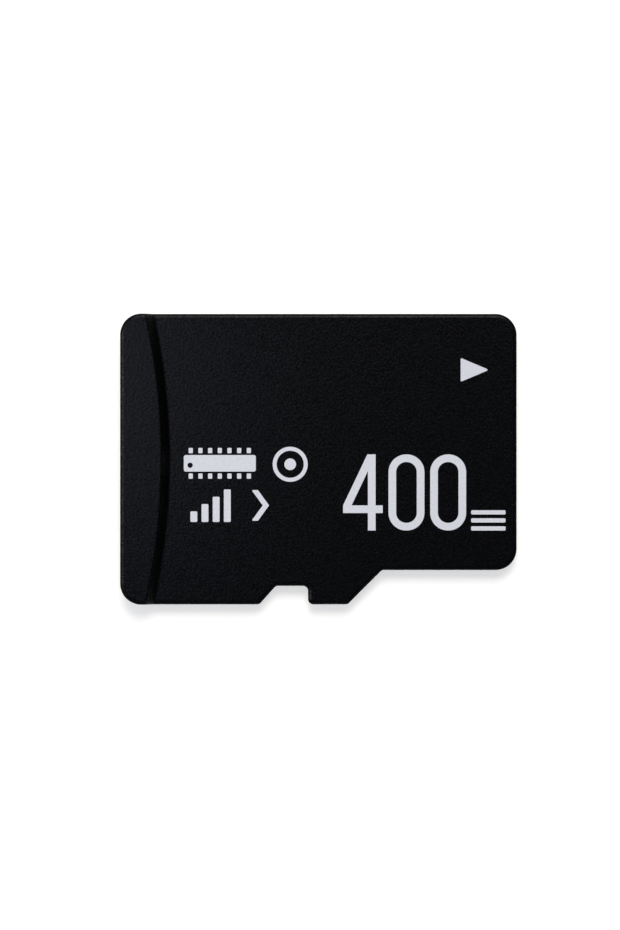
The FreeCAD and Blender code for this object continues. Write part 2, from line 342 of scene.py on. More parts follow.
# %% Moulded epoxy
# Epoxy with soot and glass beads, cast in a tool that sparks have roughened. The eye gets a near
# black with a weak, dull sheen and a sandy grain that breaks it up, because the peaks are duller
# than the pits. The pits are also painted a little darker: this is painted shade in the hollows of
# the grain, and it gives the grain a speckled tone as well. A real grain is about 0.03 mm wide. It
# is drawn 0.08 mm wide, which is as fine as the picture can show. Noise shows its grid on a face
# that lies along it, so the grain is turned.
GRAIN_MM = 0.08
GRAIN_NOISE = {"Scale": per_metre(GRAIN_MM), "Roughness": 0.6}
GRAIN_TURN = (0.5, 0.3, 0.2)
GRAIN_RANGE = {"From Min": 0.35, "From Max": 0.65}
GRAIN_RELIEF = {"Distance": 0.0045 * MM}
EPOXY_DULL = {"To Min": 0.22, "To Max": 0.31}
EPOXY_IOR = 1.5
EPOXY_SPECULAR = 0.1

mould_compound, tree, place = start_material("moulded_epoxy_sparked_grain")
turned = add_node(tree, "ShaderNodeMapping", {"Vector": place, "Rotation": GRAIN_TURN})
grain = add_node(tree, "ShaderNodeTexNoise", {"Vector": turned, **GRAIN_NOISE})
peaks = add_node(tree, "ShaderNodeMapRange", {"Value": grain, **GRAIN_RANGE})
# The darker tint of the pits is painted shade in the hollows of the grain, and speckle too.
close_material(tree, {
    **patterned(tree, peaks, "#010101", "#040405", EPOXY_DULL, GRAIN_RELIEF),
    "IOR": EPOXY_IOR, "Specular IOR Level": EPOXY_SPECULAR,
})
print(mould_compound.name, "grain", GRAIN_MM, "mm wide")

# %% [markdown]
# Outline
# Seen from above, the card is a rectangle with round corners. One long edge has a latch notch
# and then a 45 degree shoulder, so that the card goes into its socket one way only. The outline
# could be a curve object. Here it is a list of corners, each with its own radius, because the
# moulding and the laminate need the outward direction at each place too: a ring of points at
# any inset follows from the two.

# %% Corners of the outline
CORNER_RADIUS = 0.8 * MM
BEND_RADIUS = 0.2 * MM
SHOULDER_DEPTH = 1.3 * MM
SHOULDER_SETBACK = 6.4 * MM
TAB_LENGTH = 1.5 * MM
NOTCH_MOUTH = 1.84 * MM
NOTCH_DEPTH = 0.7 * MM
NOTCH_RAMP_RUN = 0.62 * MM

rear_x, notched_y = body_low.x, body_low.y
nose_x, straight_y = body_high.x, body_high.y
nose_edge_y = notched_y + SHOULDER_DEPTH
notch_floor_y = notched_y + NOTCH_DEPTH
shoulder_x = nose_x - SHOULDER_SETBACK
notch_front_x = shoulder_x - TAB_LENGTH
notch_rear_x = notch_front_x - NOTCH_MOUTH

card_corners = [
    (rear_x, straight_y, CORNER_RADIUS),
    (rear_x, notched_y, CORNER_RADIUS),
    (notch_rear_x, notched_y, BEND_RADIUS),
    (notch_rear_x + NOTCH_RAMP_RUN, notch_floor_y, BEND_RADIUS),
    (notch_front_x, notch_floor_y, BEND_RADIUS),
    (notch_front_x, notched_y, BEND_RADIUS),
    (shoulder_x, notched_y, BEND_RADIUS),
    (shoulder_x + SHOULDER_DEPTH, nose_edge_y, BEND_RADIUS),
    (nose_x, nose_edge_y, CORNER_RADIUS),
    (nose_x, straight_y, CORNER_RADIUS),
]
print("outline of", len(card_corners), "corners")

# %% Walk round an outline
TURN_STEP = math.radians(5)


def rounded_outline(corners, stops=()):
    """(place, outward) pairs counter-clockwise round (x, y, radius) corners.

    stops are extra places along X, put on each straight run that passes them.
    """
    arcs = []
    for index, (x, y, radius) in enumerate(corners):
        corner = Vector((x, y))
        into = (corner - Vector(corners[index - 1][:2])).normalized()
        out_of = (Vector(corners[(index + 1) % len(corners)][:2]) - corner).normalized()
        turn = math.atan2(into.x * out_of.y - into.y * out_of.x, into.dot(out_of))
        reach = math.copysign(radius, turn)
        outward = Vector((into.y, -into.x))
        centre = corner - into * radius * math.tan(abs(turn) / 2) - outward * reach
        steps = math.ceil(abs(turn) / TURN_STEP)
        arc = []
        for step in range(steps + 1):
            angle = turn * step / steps
            normal = outward * math.cos(angle) + into * math.sin(angle)
            arc.append((centre + normal * reach, normal))
        arcs.append(arc)
    outline = []
    for arc, following in zip(arcs, arcs[1:] + arcs[:1]):
        outline.extend(arc)
        start, normal = arc[-1]
        end = following[0][0]
        passed = [x for x in stops if min(start.x, end.x) < x < max(start.x, end.x)]
        for x in sorted(passed, reverse=end.x < start.x):
            outline.append((Vector((x, start.y)), normal))
    return outline


print("outline of", len(rounded_outline(card_corners)), "places")


# %% Rings of faces
def add_rings(bm, outline, rings):
    """Skins a list of (inset, height) rings of one outline and returns their vertices."""
    inset_layer = bm.verts.layers.float.get("inset") or bm.verts.layers.float.new("inset")
    made = []
    for inset, height in rings:
        verts = []
        for place, outward in outline:
            x, y = place - outward * inset
            vert = bm.verts.new((x, y, height))
            vert[inset_layer] = inset
            verts.append(vert)
        made.append(verts)
    for low, high in zip(made, made[1:]):
        for index in range(len(outline)):
            bm.faces.new((low[index - 1], low[index], high[index], high[index - 1]))
    return made


def rounded_edge(width, tilt, steps):
    """(inset, drop) pairs of an edge that bends from its steepest, at the outline, to the flat."""
    radius = width / math.sin(tilt)
    tilts = [tilt * (1 - step / steps) for step in range(steps + 1)]
    return [(width - radius * math.sin(t), radius * (1 - math.cos(t))) for t in tilts]


# %% [markdown]
# Moulding
# The black body is one casting. Its printed face is flat, its rim is rounded, and across the
# rear runs a lip for a fingernail, whose front follows a wide arc. Modelling that by hand would
# mean bevels that meet at odd angles. The shape is a rule instead: the lip's height depends
# only on the distance from the arc's centre, and the rim's drop only on the distance from the
# outline. So a flat plan is drawn first, with lines where the rule bends, and Geometry Nodes
# then raise it by the rule.

# %% Flat plan of the moulding
RIM_WIDTH = 0.15 * MM
RIM_TILT = math.radians(58)
RIM_STEPS = 8
FLAT_MARGIN = 0.015 * MM
LIP_REACH = 1.55 * MM
LIP_ARC_RADIUS = 25.0 * MM
LIP_WALL_SLOPE = 1 / math.tan(math.radians(45))
CREST_BLEND = 0.03 * MM
ROOT_BLEND = 0.06 * MM
STEP_LINES = 30

seam_z = board_high.z
lip_height = body_high.z - FACE_Z
arc_centre_x = rear_x + LIP_REACH - LIP_ARC_RADIUS
inner_inset = RIM_WIDTH + FLAT_MARGIN
inner_y = straight_y - inner_inset
step_start = LIP_ARC_RADIUS - CREST_BLEND / LIP_WALL_SLOPE
step_end = LIP_ARC_RADIUS + (lip_height + ROOT_BLEND) / LIP_WALL_SLOPE
spacing = (step_end - step_start) / STEP_LINES
arc_radii = [step_start + spacing * line for line in range(-1, STEP_LINES + 2)]
stops = [arc_centre_x + math.sqrt(radius ** 2 - inner_y ** 2) for radius in arc_radii]

outline = rounded_outline(card_corners, stops)
bm = bmesh.new()
insets = [inset for inset, drop in rounded_edge(RIM_WIDTH, RIM_TILT, RIM_STEPS)] + [inner_inset]
rings = add_rings(bm, outline, [(0, seam_z)] + [(inset, FACE_Z) for inset in insets])
bm.faces.new(reversed(rings[0]))
inner = rings[-1]
print("plan of", len(rings), "rings,", len(outline), "points each")

# %% Lip lines across the plan
ARC_SEGMENTS = 72

inset_layer = bm.verts.layers.float["inset"]


def stop_places(side):
    """Places in the ring of the stops on one long edge, from rear to front."""
    first, last = stops[0] - FLAT_MARGIN / 2, stops[-1] + FLAT_MARGIN / 2
    found = [
        index for index, (place, normal) in enumerate(outline)
        if first < place.x < last and normal.y * side > 0
    ]
    return found[::-side]


low_places, high_places = stop_places(-1), stop_places(1)
arcs = []
for radius, low, high in zip(arc_radii, low_places, high_places):
    half_angle = math.asin(inner_y / radius)
    arc = [inner[low]]
    for step in range(1, ARC_SEGMENTS):
        angle = half_angle * (2 * step / ARC_SEGMENTS - 1)
        vert = bm.verts.new((arc_centre_x + radius * math.cos(angle), radius * math.sin(angle), FACE_Z))
        vert[inset_layer] = inner_inset
        arc.append(vert)
    arcs.append(arc + [inner[high]])
for rear, front in zip(arcs, arcs[1:]):
    for step in range(ARC_SEGMENTS):
        bm.faces.new((rear[step], front[step], front[step + 1], rear[step + 1]))
bm.faces.new(inner[high_places[0]:] + inner[:low_places[0]] + arcs[0][:-1])
bm.faces.new(inner[low_places[-1]:high_places[-1]] + arcs[-1][:0:-1])
moulding = add_object("moulding", plain_mesh("moulding", bm))
print("plan of", len(moulding.data.vertices), "points in all")


# %% Geometry Nodes helpers
def start_tree(name, sizes):
    """Geometry tree with named inputs, and the outputs of its Group Input node by name."""
    tree = bpy.data.node_groups.new(name, "GeometryNodeTree")
    tree.interface.new_socket("Geometry", in_out="INPUT", socket_type="NodeSocketGeometry")
    for size, kind in sizes.items():
        tree.interface.new_socket(size, in_out="INPUT", socket_type=f"NodeSocket{kind}")
    tree.interface.new_socket("Material", in_out="INPUT", socket_type="NodeSocketMaterial")
    tree.interface.new_socket("Geometry", in_out="OUTPUT", socket_type="NodeSocketGeometry")
    return tree, add_node(tree, "NodeGroupInput").outputs


def close_tree(tree, given, geometry):
    """Ends a tree: instances become mesh, and the mesh gets its material."""
    real = add_node(tree, "GeometryNodeRealizeInstances", {"Geometry": geometry})
    coated = add_node(tree, "GeometryNodeSetMaterial", {"Geometry": real, "Material": given["Material"]})
    add_node(tree, "NodeGroupOutput", {"Geometry": coated})


def run_tree(piece, tree, values):
    """Runs a tree on a piece with these input values and keeps the result as its mesh."""
    modifier = piece.modifiers.new(tree.name, "NODES")
    modifier.node_group = tree
    for item in tree.interface.items_tree:
        if item.in_out == "INPUT" and item.name in values:
            modifier[item.identifier] = values[item.name]
    return settle(piece)


# %% Rule of the printed face
tree, given = start_tree("moulded_face", {
    "Seam Height": "Float", "Arc Centre": "Vector", "Arc Radius": "Float", "Lip Height": "Float",
    "Wall Slope": "Float", "Crest Blend": "Float", "Root Blend": "Float", "Rim Width": "Float",
    "Rim Radius": "Float",
})
# From its arc the lip falls at the slope of its wall, with a blend at its crest and its root.
position = add_node(tree, "GeometryNodeInputPosition")
axes = add_node(tree, "ShaderNodeSeparateXYZ", {0: position}).outputs
flat = add_node(tree, "ShaderNodeCombineXYZ", {"X": axes["X"], "Y": axes["Y"]})
away = add_node(tree, "ShaderNodeVectorMath", {0: flat, 1: given["Arc Centre"]}, operation="DISTANCE")
past = add_node(tree, "ShaderNodeMath", {
    0: away.outputs["Value"], 1: given["Arc Radius"],
}, operation="SUBTRACT")
fall = add_node(tree, "ShaderNodeMath", {0: past, 1: given["Wall Slope"]}, operation="MULTIPLY")
wall = add_node(tree, "ShaderNodeMath", {0: given["Lip Height"], 1: fall}, operation="SUBTRACT")
crest = add_node(tree, "ShaderNodeMath", {
    0: given["Lip Height"], 1: wall, 2: given["Crest Blend"],
}, operation="SMOOTH_MIN")
lip = add_node(tree, "ShaderNodeMath", {
    0: crest, 1: 0.0, 2: given["Root Blend"],
}, operation="SMOOTH_MAX")

# The rim bends down along a circle, from the flat to the outline.
inset = add_node(tree, "GeometryNodeInputNamedAttribute", {"Name": "inset"}, data_type="FLOAT")
over_rim = add_node(tree, "ShaderNodeMath", {0: given["Rim Width"], 1: inset}, operation="SUBTRACT")
run = add_node(tree, "ShaderNodeMath", {0: over_rim, 1: 0.0}, operation="MAXIMUM")
share = add_node(tree, "ShaderNodeMath", {0: run, 1: given["Rim Radius"]}, operation="DIVIDE")
tilt = add_node(tree, "ShaderNodeMath", {0: share}, operation="ARCSINE")
level = add_node(tree, "ShaderNodeMath", {0: tilt}, operation="COSINE")
sunk = add_node(tree, "ShaderNodeMath", {0: 1.0, 1: level}, operation="SUBTRACT")
drop = add_node(tree, "ShaderNodeMath", {0: sunk, 1: given["Rim Radius"]}, operation="MULTIPLY")

# Both together move the printed face, and the seam below stays.
lift = add_node(tree, "ShaderNodeMath", {0: lip, 1: drop}, operation="SUBTRACT")
raised = add_node(tree, "ShaderNodeCombineXYZ", {"Z": lift})
on_face = add_node(tree, "FunctionNodeCompare", {
    0: axes["Z"], 1: given["Seam Height"],
}, operation="GREATER_THAN")
formed = add_node(tree, "GeometryNodeSetPosition", {
    "Geometry": given["Geometry"], "Selection": on_face, "Offset": raised,
})
close_tree(tree, given, formed)
run_tree(moulding, tree, {
    "Seam Height": seam_z, "Arc Centre": (arc_centre_x, 0, 0), "Arc Radius": LIP_ARC_RADIUS,
    "Lip Height": lip_height, "Wall Slope": LIP_WALL_SLOPE, "Crest Blend": CREST_BLEND,
    "Root Blend": ROOT_BLEND, "Rim Width": RIM_WIDTH, "Rim Radius": RIM_WIDTH / math.sin(RIM_TILT),
    "Material": mould_compound,
})
report(moulding)

# %% [markdown]
# Pockets
# The real moulding is cast round chips and wires, so it is hollow where they lie. The pockets
# could be drawn as boxes, but the solids of those pieces are already in the frame. Copies of
# them, gathered in a collection, are cut out of the moulding with one Boolean, so that each
# pocket fits what lies in it. The copies reach a little below the moulding, because a cut that
# ends exactly on a face leaves a skin there.

# %% Pockets for the chips and wires
POCKET_OVERRUN = 0.001 * MM
POCKET_WELD = 1e-5 * MM

shown_nodes = ("moulded_body", "substrate", "contact_")
hidden_nodes = {name: node for name, node in frame["nodes"].items() if not name.startswith(shown_nodes)}
forms = bpy.data.collections.new("pocket_forms")
for name, node in hidden_nodes.items():
    bm = bmesh.new()
    bm.from_mesh(node.data)
    bmesh.ops.remove_doubles(bm, verts=bm.verts, dist=POCKET_WELD)
    for vert in bm.verts:
        if abs(vert.co.z - seam_z) < POCKET_OVERRUN:
            vert.co.z -= POCKET_OVERRUN
    form_name = f"{name}_form"
    forms.objects.link(add_object(form_name, plain_mesh(form_name, bm)))
cut = moulding.modifiers.new("pockets", "BOOLEAN")
cut.operand_type = "COLLECTION"
cut.collection = forms
cut.solver = "MANIFOLD"
settle(moulding)
for holder in list(forms.objects):
    bpy.data.objects.remove(holder)
bpy.data.collections.remove(forms)
report(moulding)

# %% [markdown]
# Laminate
# Under the moulding lies a glass fibre laminate with a black solder mask. Its lower edge is
# slightly broken by the saw and the mask. The same outline gives it, as rings again. The
# contacts sit in windows in the mask, and those are cut with a Boolean, because the window and
# the contact then come from one rule and fit each other. The rule is a row of rounded blocks,
# made by Geometry Nodes, which the contacts and some of the printed marks use as well.

# %% Row of blocks
BLOCK_CORNER_STEPS = 6
BLOCK_WELD = 1e-4 * MM

row_of_blocks, given = start_tree("row_of_blocks", {
    "Count": "Int", "Pitch": "Float", "Length": "Float", "Width": "Float", "Length Step": "Float",
    "Lead": "Float", "First Lead": "Int", "Second Lead": "Int", "Corner Radius": "Float",
    "Thickness": "Float", "Turn": "Float", "Place": "Vector",
})
tree = row_of_blocks
spread = add_node(tree, "ShaderNodeCombineXYZ", {"Y": given["Pitch"]})
line = add_node(tree, "GeometryNodeMeshLine", {"Count": given["Count"], "Offset": spread})
index = add_node(tree, "GeometryNodeInputIndex")
# Sockets 2 and 3 of a Compare node take whole numbers.
leads = [add_node(tree, "FunctionNodeCompare", {
    2: index, 3: given[name],
}, data_type="INT", operation="EQUAL") for name in ("First Lead", "Second Lead")]
leading = add_node(tree, "ShaderNodeMath", {0: leads[0], 1: leads[1]}, operation="MAXIMUM")
stepped = add_node(tree, "ShaderNodeMath", {
    0: index, 1: given["Length Step"], 2: given["Length"],
}, operation="MULTIPLY_ADD")
length = add_node(tree, "ShaderNodeMath", {
    0: leading, 1: given["Lead"], 2: stepped,
}, operation="MULTIPLY_ADD")
size = add_node(tree, "ShaderNodeCombineXYZ", {"X": length, "Y": given["Width"], "Z": 1.0})
# A unit square that starts at its place is stretched to the length and width of each block.
square = add_node(tree, "GeometryNodeCurvePrimitiveQuadrilateral", {"Width": 1.0, "Height": 1.0})
started = add_node(tree, "GeometryNodeTransform", {"Geometry": square, "Translation": (0.5, 0, 0)})
blocks = add_node(tree, "GeometryNodeInstanceOnPoints", {
    "Points": line, "Instance": started, "Scale": size,
})
outlines = add_node(tree, "GeometryNodeRealizeInstances", {"Geometry": blocks})
softened = add_node(tree, "GeometryNodeFilletCurve", {
    "Curve": outlines, "Count": BLOCK_CORNER_STEPS, "Radius": given["Corner Radius"],
    "Limit Radius": True,
}, mode="POLY")
filled = add_node(tree, "GeometryNodeFillCurve", {"Curve": softened}, mode="NGONS")
raised = add_node(tree, "GeometryNodeExtrudeMesh", {
    "Mesh": filled, "Offset": (0, 0, 1), "Offset Scale": given["Thickness"], "Individual": False,
})
base = add_node(tree, "GeometryNodeFlipFaces", {"Mesh": filled})
both = add_node(tree, "GeometryNodeJoinGeometry", {"Geometry": [raised, base]})
welded = add_node(tree, "GeometryNodeMergeByDistance", {"Geometry": both, "Distance": BLOCK_WELD})
turn = add_node(tree, "ShaderNodeCombineXYZ", {"Z": given["Turn"]})
placed = add_node(tree, "GeometryNodeTransform", {
    "Geometry": welded, "Translation": given["Place"], "Rotation": turn,
})
close_tree(tree, given, placed)


def add_row(name, material, **values):
    """Piece made of a row of rounded blocks."""
    row = add_object(name, bpy.data.meshes.new(name))
    values = {key.replace("_", " ").title(): value for key, value in values.items()}
    return run_tree(row, row_of_blocks, {"Material": material, **values})


print(row_of_blocks.name, "with", len(given), "inputs")

# %% Solder mask
# Black lacquer, curtain coated over copper and baked. The eye gets a satin black with a slight
# orange peel. The copper shows through as faint raised tracks, in areas where they run along the
# card, run across it or are missing, and as round pads with a dimple where a plated hole is.
# The pads' sizes are shares of their spacing.
PEEL_MM = 0.4
TRACE_PITCH_MM = 0.25
TRACE_EDGE = {"From Min": 0.04 * MM, "From Max": 0.07 * MM}
TRACE_AREA_MM = 2.6
LENGTHWISE_SHARE = 0.6
ROUTED_SHARE = 0.75
HOLE_SPACING_MM = 1.3
HOLE_PAD = {"From Min": 0.1, "From Max": 0.13, "To Min": 1.0, "To Max": 0.0}
HOLE_DIMPLE = {"From Min": 0.03, "From Max": 0.05}
MASK_DEPTH = 0.004 * MM
MASK_DULL = {"To Min": 0.26, "To Max": 0.4}
MASK_IOR = 1.5

solder_mask, tree, place = start_material("black_solder_mask")
axes = add_node(tree, "ShaderNodeSeparateXYZ", {0: place}).outputs
area = add_node(tree, "ShaderNodeTexVoronoi", {
    "Vector": place, "Scale": per_metre(TRACE_AREA_MM),
}, voronoi_dimensions="2D", distance="CHEBYCHEV")
lot = add_node(tree, "ShaderNodeSeparateColor", {0: area.outputs["Color"]}).outputs
lengthwise = add_node(tree, "ShaderNodeMath", {0: lot["Red"], 1: LENGTHWISE_SHARE}, operation="LESS_THAN")
routed = add_node(tree, "ShaderNodeMath", {0: lot["Green"], 1: ROUTED_SHARE}, operation="LESS_THAN")
over = add_node(tree, "ShaderNodeMix", {"Factor": lengthwise, "A": axes["X"], "B": axes["Y"]})
across = add_node(tree, "ShaderNodeMath", {0: over, 1: TRACE_PITCH_MM * MM / 2}, operation="PINGPONG")
trace = add_node(tree, "ShaderNodeMapRange", {
    "Value": across, **TRACE_EDGE,
}, interpolation_type="SMOOTHSTEP")
tracks = add_node(tree, "ShaderNodeMath", {0: trace, 1: routed}, operation="MULTIPLY")
from_hole = add_node(tree, "ShaderNodeTexVoronoi", {
    "Vector": place, "Scale": per_metre(HOLE_SPACING_MM),
}, voronoi_dimensions="2D").outputs["Distance"]
pad = add_node(tree, "ShaderNodeMapRange", {"Value": from_hole, **HOLE_PAD})
copper = add_node(tree, "ShaderNodeMath", {0: tracks, 1: pad}, operation="MAXIMUM")
dimple = add_node(tree, "ShaderNodeMapRange", {"Value": from_hole, **HOLE_DIMPLE})
peel = add_node(tree, "ShaderNodeTexNoise", {"Vector": place, "Scale": per_metre(PEEL_MM)})
height = add_node(tree, "ShaderNodeMath", {0: copper, 1: dimple, 2: peel}, operation="MULTIPLY_ADD")
relief = add_node(tree, "ShaderNodeBump", {"Distance": MASK_DEPTH, "Height": height})
tint = add_node(tree, "ShaderNodeMix", {
    SHARE: height, FROM: linear("#060708"), TO: linear("#0F1214"),
}, data_type="RGBA")
dull = add_node(tree, "ShaderNodeMapRange", {"Value": peel, **MASK_DULL})
close_material(tree, {
    "Base Color": tint.outputs[MIXED], "Roughness": dull, "IOR": MASK_IOR, "Normal": relief,
})
print(solder_mask.name, "tracks", TRACE_PITCH_MM, "mm apart")

# %% Sawn edge
# Woven glass in dark resin, cut with a diamond blade. The eye gets a rough dark edge with paler
# lines where the glass plies end. A real fibre is under 0.01 mm. It is drawn 0.05 mm wide, so
# that it shows.
PLY_MM = 0.065
FIBRE_MM = 0.05
SAWN_DEPTH = 0.006 * MM
SAWN_ROUGHNESS = 0.6
SAWN_IOR = 1.5

sawn_laminate, tree, place = start_material("sawn_glass_laminate")
axes = add_node(tree, "ShaderNodeSeparateXYZ", {0: place}).outputs
ply = add_node(tree, "ShaderNodeMath", {0: axes["Z"], 1: PLY_MM * MM / 2}, operation="PINGPONG")
layer = add_node(tree, "ShaderNodeMapRange", {"Value": ply, "From Max": PLY_MM * MM / 2})
fibre = add_node(tree, "ShaderNodeTexNoise", {"Vector": place, "Scale": per_metre(FIBRE_MM)})
rough_cut = add_node(tree, "ShaderNodeMath", {0: layer, 1: fibre}, operation="MULTIPLY")
tint = add_node(tree, "ShaderNodeMix", {
    SHARE: rough_cut, FROM: linear("#0C0B0A"), TO: linear("#2E2A22"),
}, data_type="RGBA")
relief = add_node(tree, "ShaderNodeBump", {"Distance": SAWN_DEPTH, "Height": rough_cut})
close_material(tree, {
    "Base Color": tint.outputs[MIXED], "Roughness": SAWN_ROUGHNESS, "IOR": SAWN_IOR, "Normal": relief,
})
print(sawn_laminate.name, "plies", PLY_MM, "mm thick")

# %% Laminate with windows
BROKEN_EDGE = 0.02 * MM
BROKEN_STEPS = 4
CONTACT_PITCH = 1.1 * MM
CONTACT_CORNER = 0.1 * MM
SUPPLY_INDEX = 3
GROUND_INDEX = 5
WINDOW_OVERRUN = 0.01 * MM
MASK_SLOT, SAWN_SLOT = 0, 1

contact_nodes = [name for name in frame["nodes"] if name.startswith("contact_")]
contact_low, contact_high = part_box("contact_command")
lead_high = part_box("contact_supply")[1]
first_low, first_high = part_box("contact_data_2")
contact_row = {
    "count": len(contact_nodes), "pitch": CONTACT_PITCH, "length": contact_high.x - contact_low.x,
    "width": contact_high.y - contact_low.y, "lead": lead_high.x - contact_high.x,
    "first_lead": SUPPLY_INDEX, "second_lead": GROUND_INDEX, "corner_radius": CONTACT_CORNER,
}
row_y = (first_low.y + first_high.y) / 2

bm = bmesh.new()
broken = reversed(rounded_edge(BROKEN_EDGE, math.pi / 2, BROKEN_STEPS))
rings = add_rings(bm, rounded_outline(card_corners), [
    *((inset, board_low.z + drop) for inset, drop in broken), (0, board_high.z),
])
bm.faces.new(reversed(rings[0]))
bm.faces.new(rings[-1])
laminate = add_object("laminate", plain_mesh("laminate", bm))
for finish in (solder_mask, sawn_laminate):
    laminate.data.materials.append(finish)

windows = add_row(
    "contact_windows", solder_mask, thickness=contact_high.z + WINDOW_OVERRUN,
    place=(contact_low.x, row_y, -WINDOW_OVERRUN), **contact_row,
)
cut = laminate.modifiers.new("windows", "BOOLEAN")
cut.object = windows
cut.solver = "EXACT"
settle(laminate)
bpy.data.objects.remove(windows)
for face in laminate.data.polygons:
    upright = abs(face.normal.z) < math.sin(SHARP_ANGLE)
    face.material_index = SAWN_SLOT if upright and face.center.z > contact_high.z else MASK_SLOT
report(laminate)

# %% [markdown]
# Contacts
# Eight gold plated pads lie in the windows. Those for supply and ground reach further towards the
# nose, so that they touch first. The pads could be modelled one by one, but they repeat along a
# line, which is what Geometry Nodes do well. A small bevel rounds their edges as the plating does.

# %% Gold plate
# Copper under nickel and hard gold, wiped by the springs of a socket. The eye gets a warm metal
# with fine streaks along the way in, some brighter and some duller.
WIPE_LENGTH_MM = 1.6
WIPE_WIDTH_MM = 0.03
WIPE_DETAIL = 3.0
WIPE_RELIEF = {"Strength": 0.6, "Distance": 0.002 * MM}
GOLD_DULL = {"To Min": 0.16, "To Max": 0.38}

gold_plate, tree, place = start_material("hard_gold_plate")
along = add_node(tree, "ShaderNodeMapping", {
    "Vector": place,
    "Scale": (per_metre(WIPE_LENGTH_MM), per_metre(WIPE_WIDTH_MM), per_metre(WIPE_WIDTH_MM)),
})
wipe = add_node(tree, "ShaderNodeTexNoise", {"Vector": along, "Scale": 1.0, "Detail": WIPE_DETAIL})
close_material(tree, {
    **patterned(tree, wipe, "#C99B43", "#EBCB85", GOLD_DULL, WIPE_RELIEF), "Metallic": 1.0,
})
print(gold_plate.name, "streaks", WIPE_WIDTH_MM, "mm wide")

# %% Contact row
PLATED_EDGE = 0.01 * MM
PLATED_STEPS = 2

contacts = add_row(
    "contact_pads", gold_plate, thickness=contact_high.z - contact_low.z,
    place=(contact_low.x, row_y, contact_low.z), **contact_row,
)
edge = contacts.modifiers.new("plated_edge", "BEVEL")
edge.width = PLATED_EDGE
edge.segments = PLATED_STEPS
settle(contacts)
report(contacts)

# %% [markdown]
# Inside the moulding
# A finished card shows none of this, but whoever takes the model apart sees it: thinned memory
# chips in a stack, each on a film of glue, a controller chip, ceramic capacitors and resistors
# with tinned ends, and gold wires as fine as hair. Their solids are right as they are and could
# be copied, but then nothing would be gained, so they stay and only get finishes.

# %% Ground silicon
# Silicon, thinned on a wheel and polished, with blocks of memory cells in its face. The eye gets
# a dark grey mirror with faint grinding lines and a grid of paler streets.
CELL_BLOCK_MM = 1.9
STREET_MM = 0.08
GRIND_LENGTH_MM = 2.0
GRIND_WIDTH_MM = 0.02
SILICON_DULL = {"To Min": 0.12, "To Max": 0.26}
SILICON_IOR = 3.9

silicon, tree, place = start_material("ground_silicon")
axes = add_node(tree, "ShaderNodeSeparateXYZ", {0: place}).outputs
streets = []
for axis in ("X", "Y"):
    off = add_node(tree, "ShaderNodeMath", {
        0: axes[axis], 1: CELL_BLOCK_MM * MM / 2,
    }, operation="PINGPONG")
    street = add_node(tree, "ShaderNodeMath", {0: off, 1: STREET_MM * MM / 2}, operation="LESS_THAN")
    streets.append(street)
grid = add_node(tree, "ShaderNodeMath", {0: streets[0], 1: streets[1]}, operation="MAXIMUM")
along = add_node(tree, "ShaderNodeMapping", {
    "Vector": place,
    "Scale": (per_metre(GRIND_LENGTH_MM), per_metre(GRIND_WIDTH_MM), per_metre(GRIND_WIDTH_MM)),
})
lines = add_node(tree, "ShaderNodeTexNoise", {"Vector": along, "Scale": 1.0})
ground = add_node(tree, "ShaderNodeMix", {
    SHARE: lines, FROM: linear("#6E7178"), TO: linear("#868A93"),
}, data_type="RGBA")
tint = add_node(tree, "ShaderNodeMix", {
    SHARE: grid, FROM: ground.outputs[MIXED], TO: linear("#A9A296"),
}, data_type="RGBA")
dull = add_node(tree, "ShaderNodeMapRange", {"Value": lines, **SILICON_DULL})
close_material(tree, {"Base Color": tint.outputs[MIXED], "Roughness": dull, "IOR": SILICON_IOR})
print(silicon.name, "blocks", CELL_BLOCK_MM, "mm wide")

# %% Die attach film
# Epoxy film, pressed between the chips and cured. The eye gets a flat tan with fine specks of
# filler.
SPECK_MM = 0.04
SPECK_DETAIL = 1.0
FILM_DULL = {"To Min": 0.5, "To Max": 0.7}
FILM_IOR = 1.55

attach_film, tree, place = start_material("cured_attach_film")
specks = add_node(tree, "ShaderNodeTexNoise", {
    "Vector": place, "Scale": per_metre(SPECK_MM), "Detail": SPECK_DETAIL,
})
close_material(tree, {**patterned(tree, specks, "#A38A69", "#C0AA8B", FILM_DULL), "IOR": FILM_IOR})
print(attach_film.name, "specks", SPECK_MM, "mm wide")

# %% Tinned ceramic chips
# Fired ceramic between two ends dipped in tin. The eye gets a matt block with grainy flanks and
# two bright soft metal caps. All the chips stand in line, so the caps lie at one distance from
# the middle of the line.
TIN_CAP = 0.12 * MM
FIRED_GRAIN_MM = 0.03
FIRED_DEPTH = 0.002 * MM
FIRED_DULL = {"To Min": 0.35, "To Max": 0.55}

chip_low, chip_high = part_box("capacitor_1")


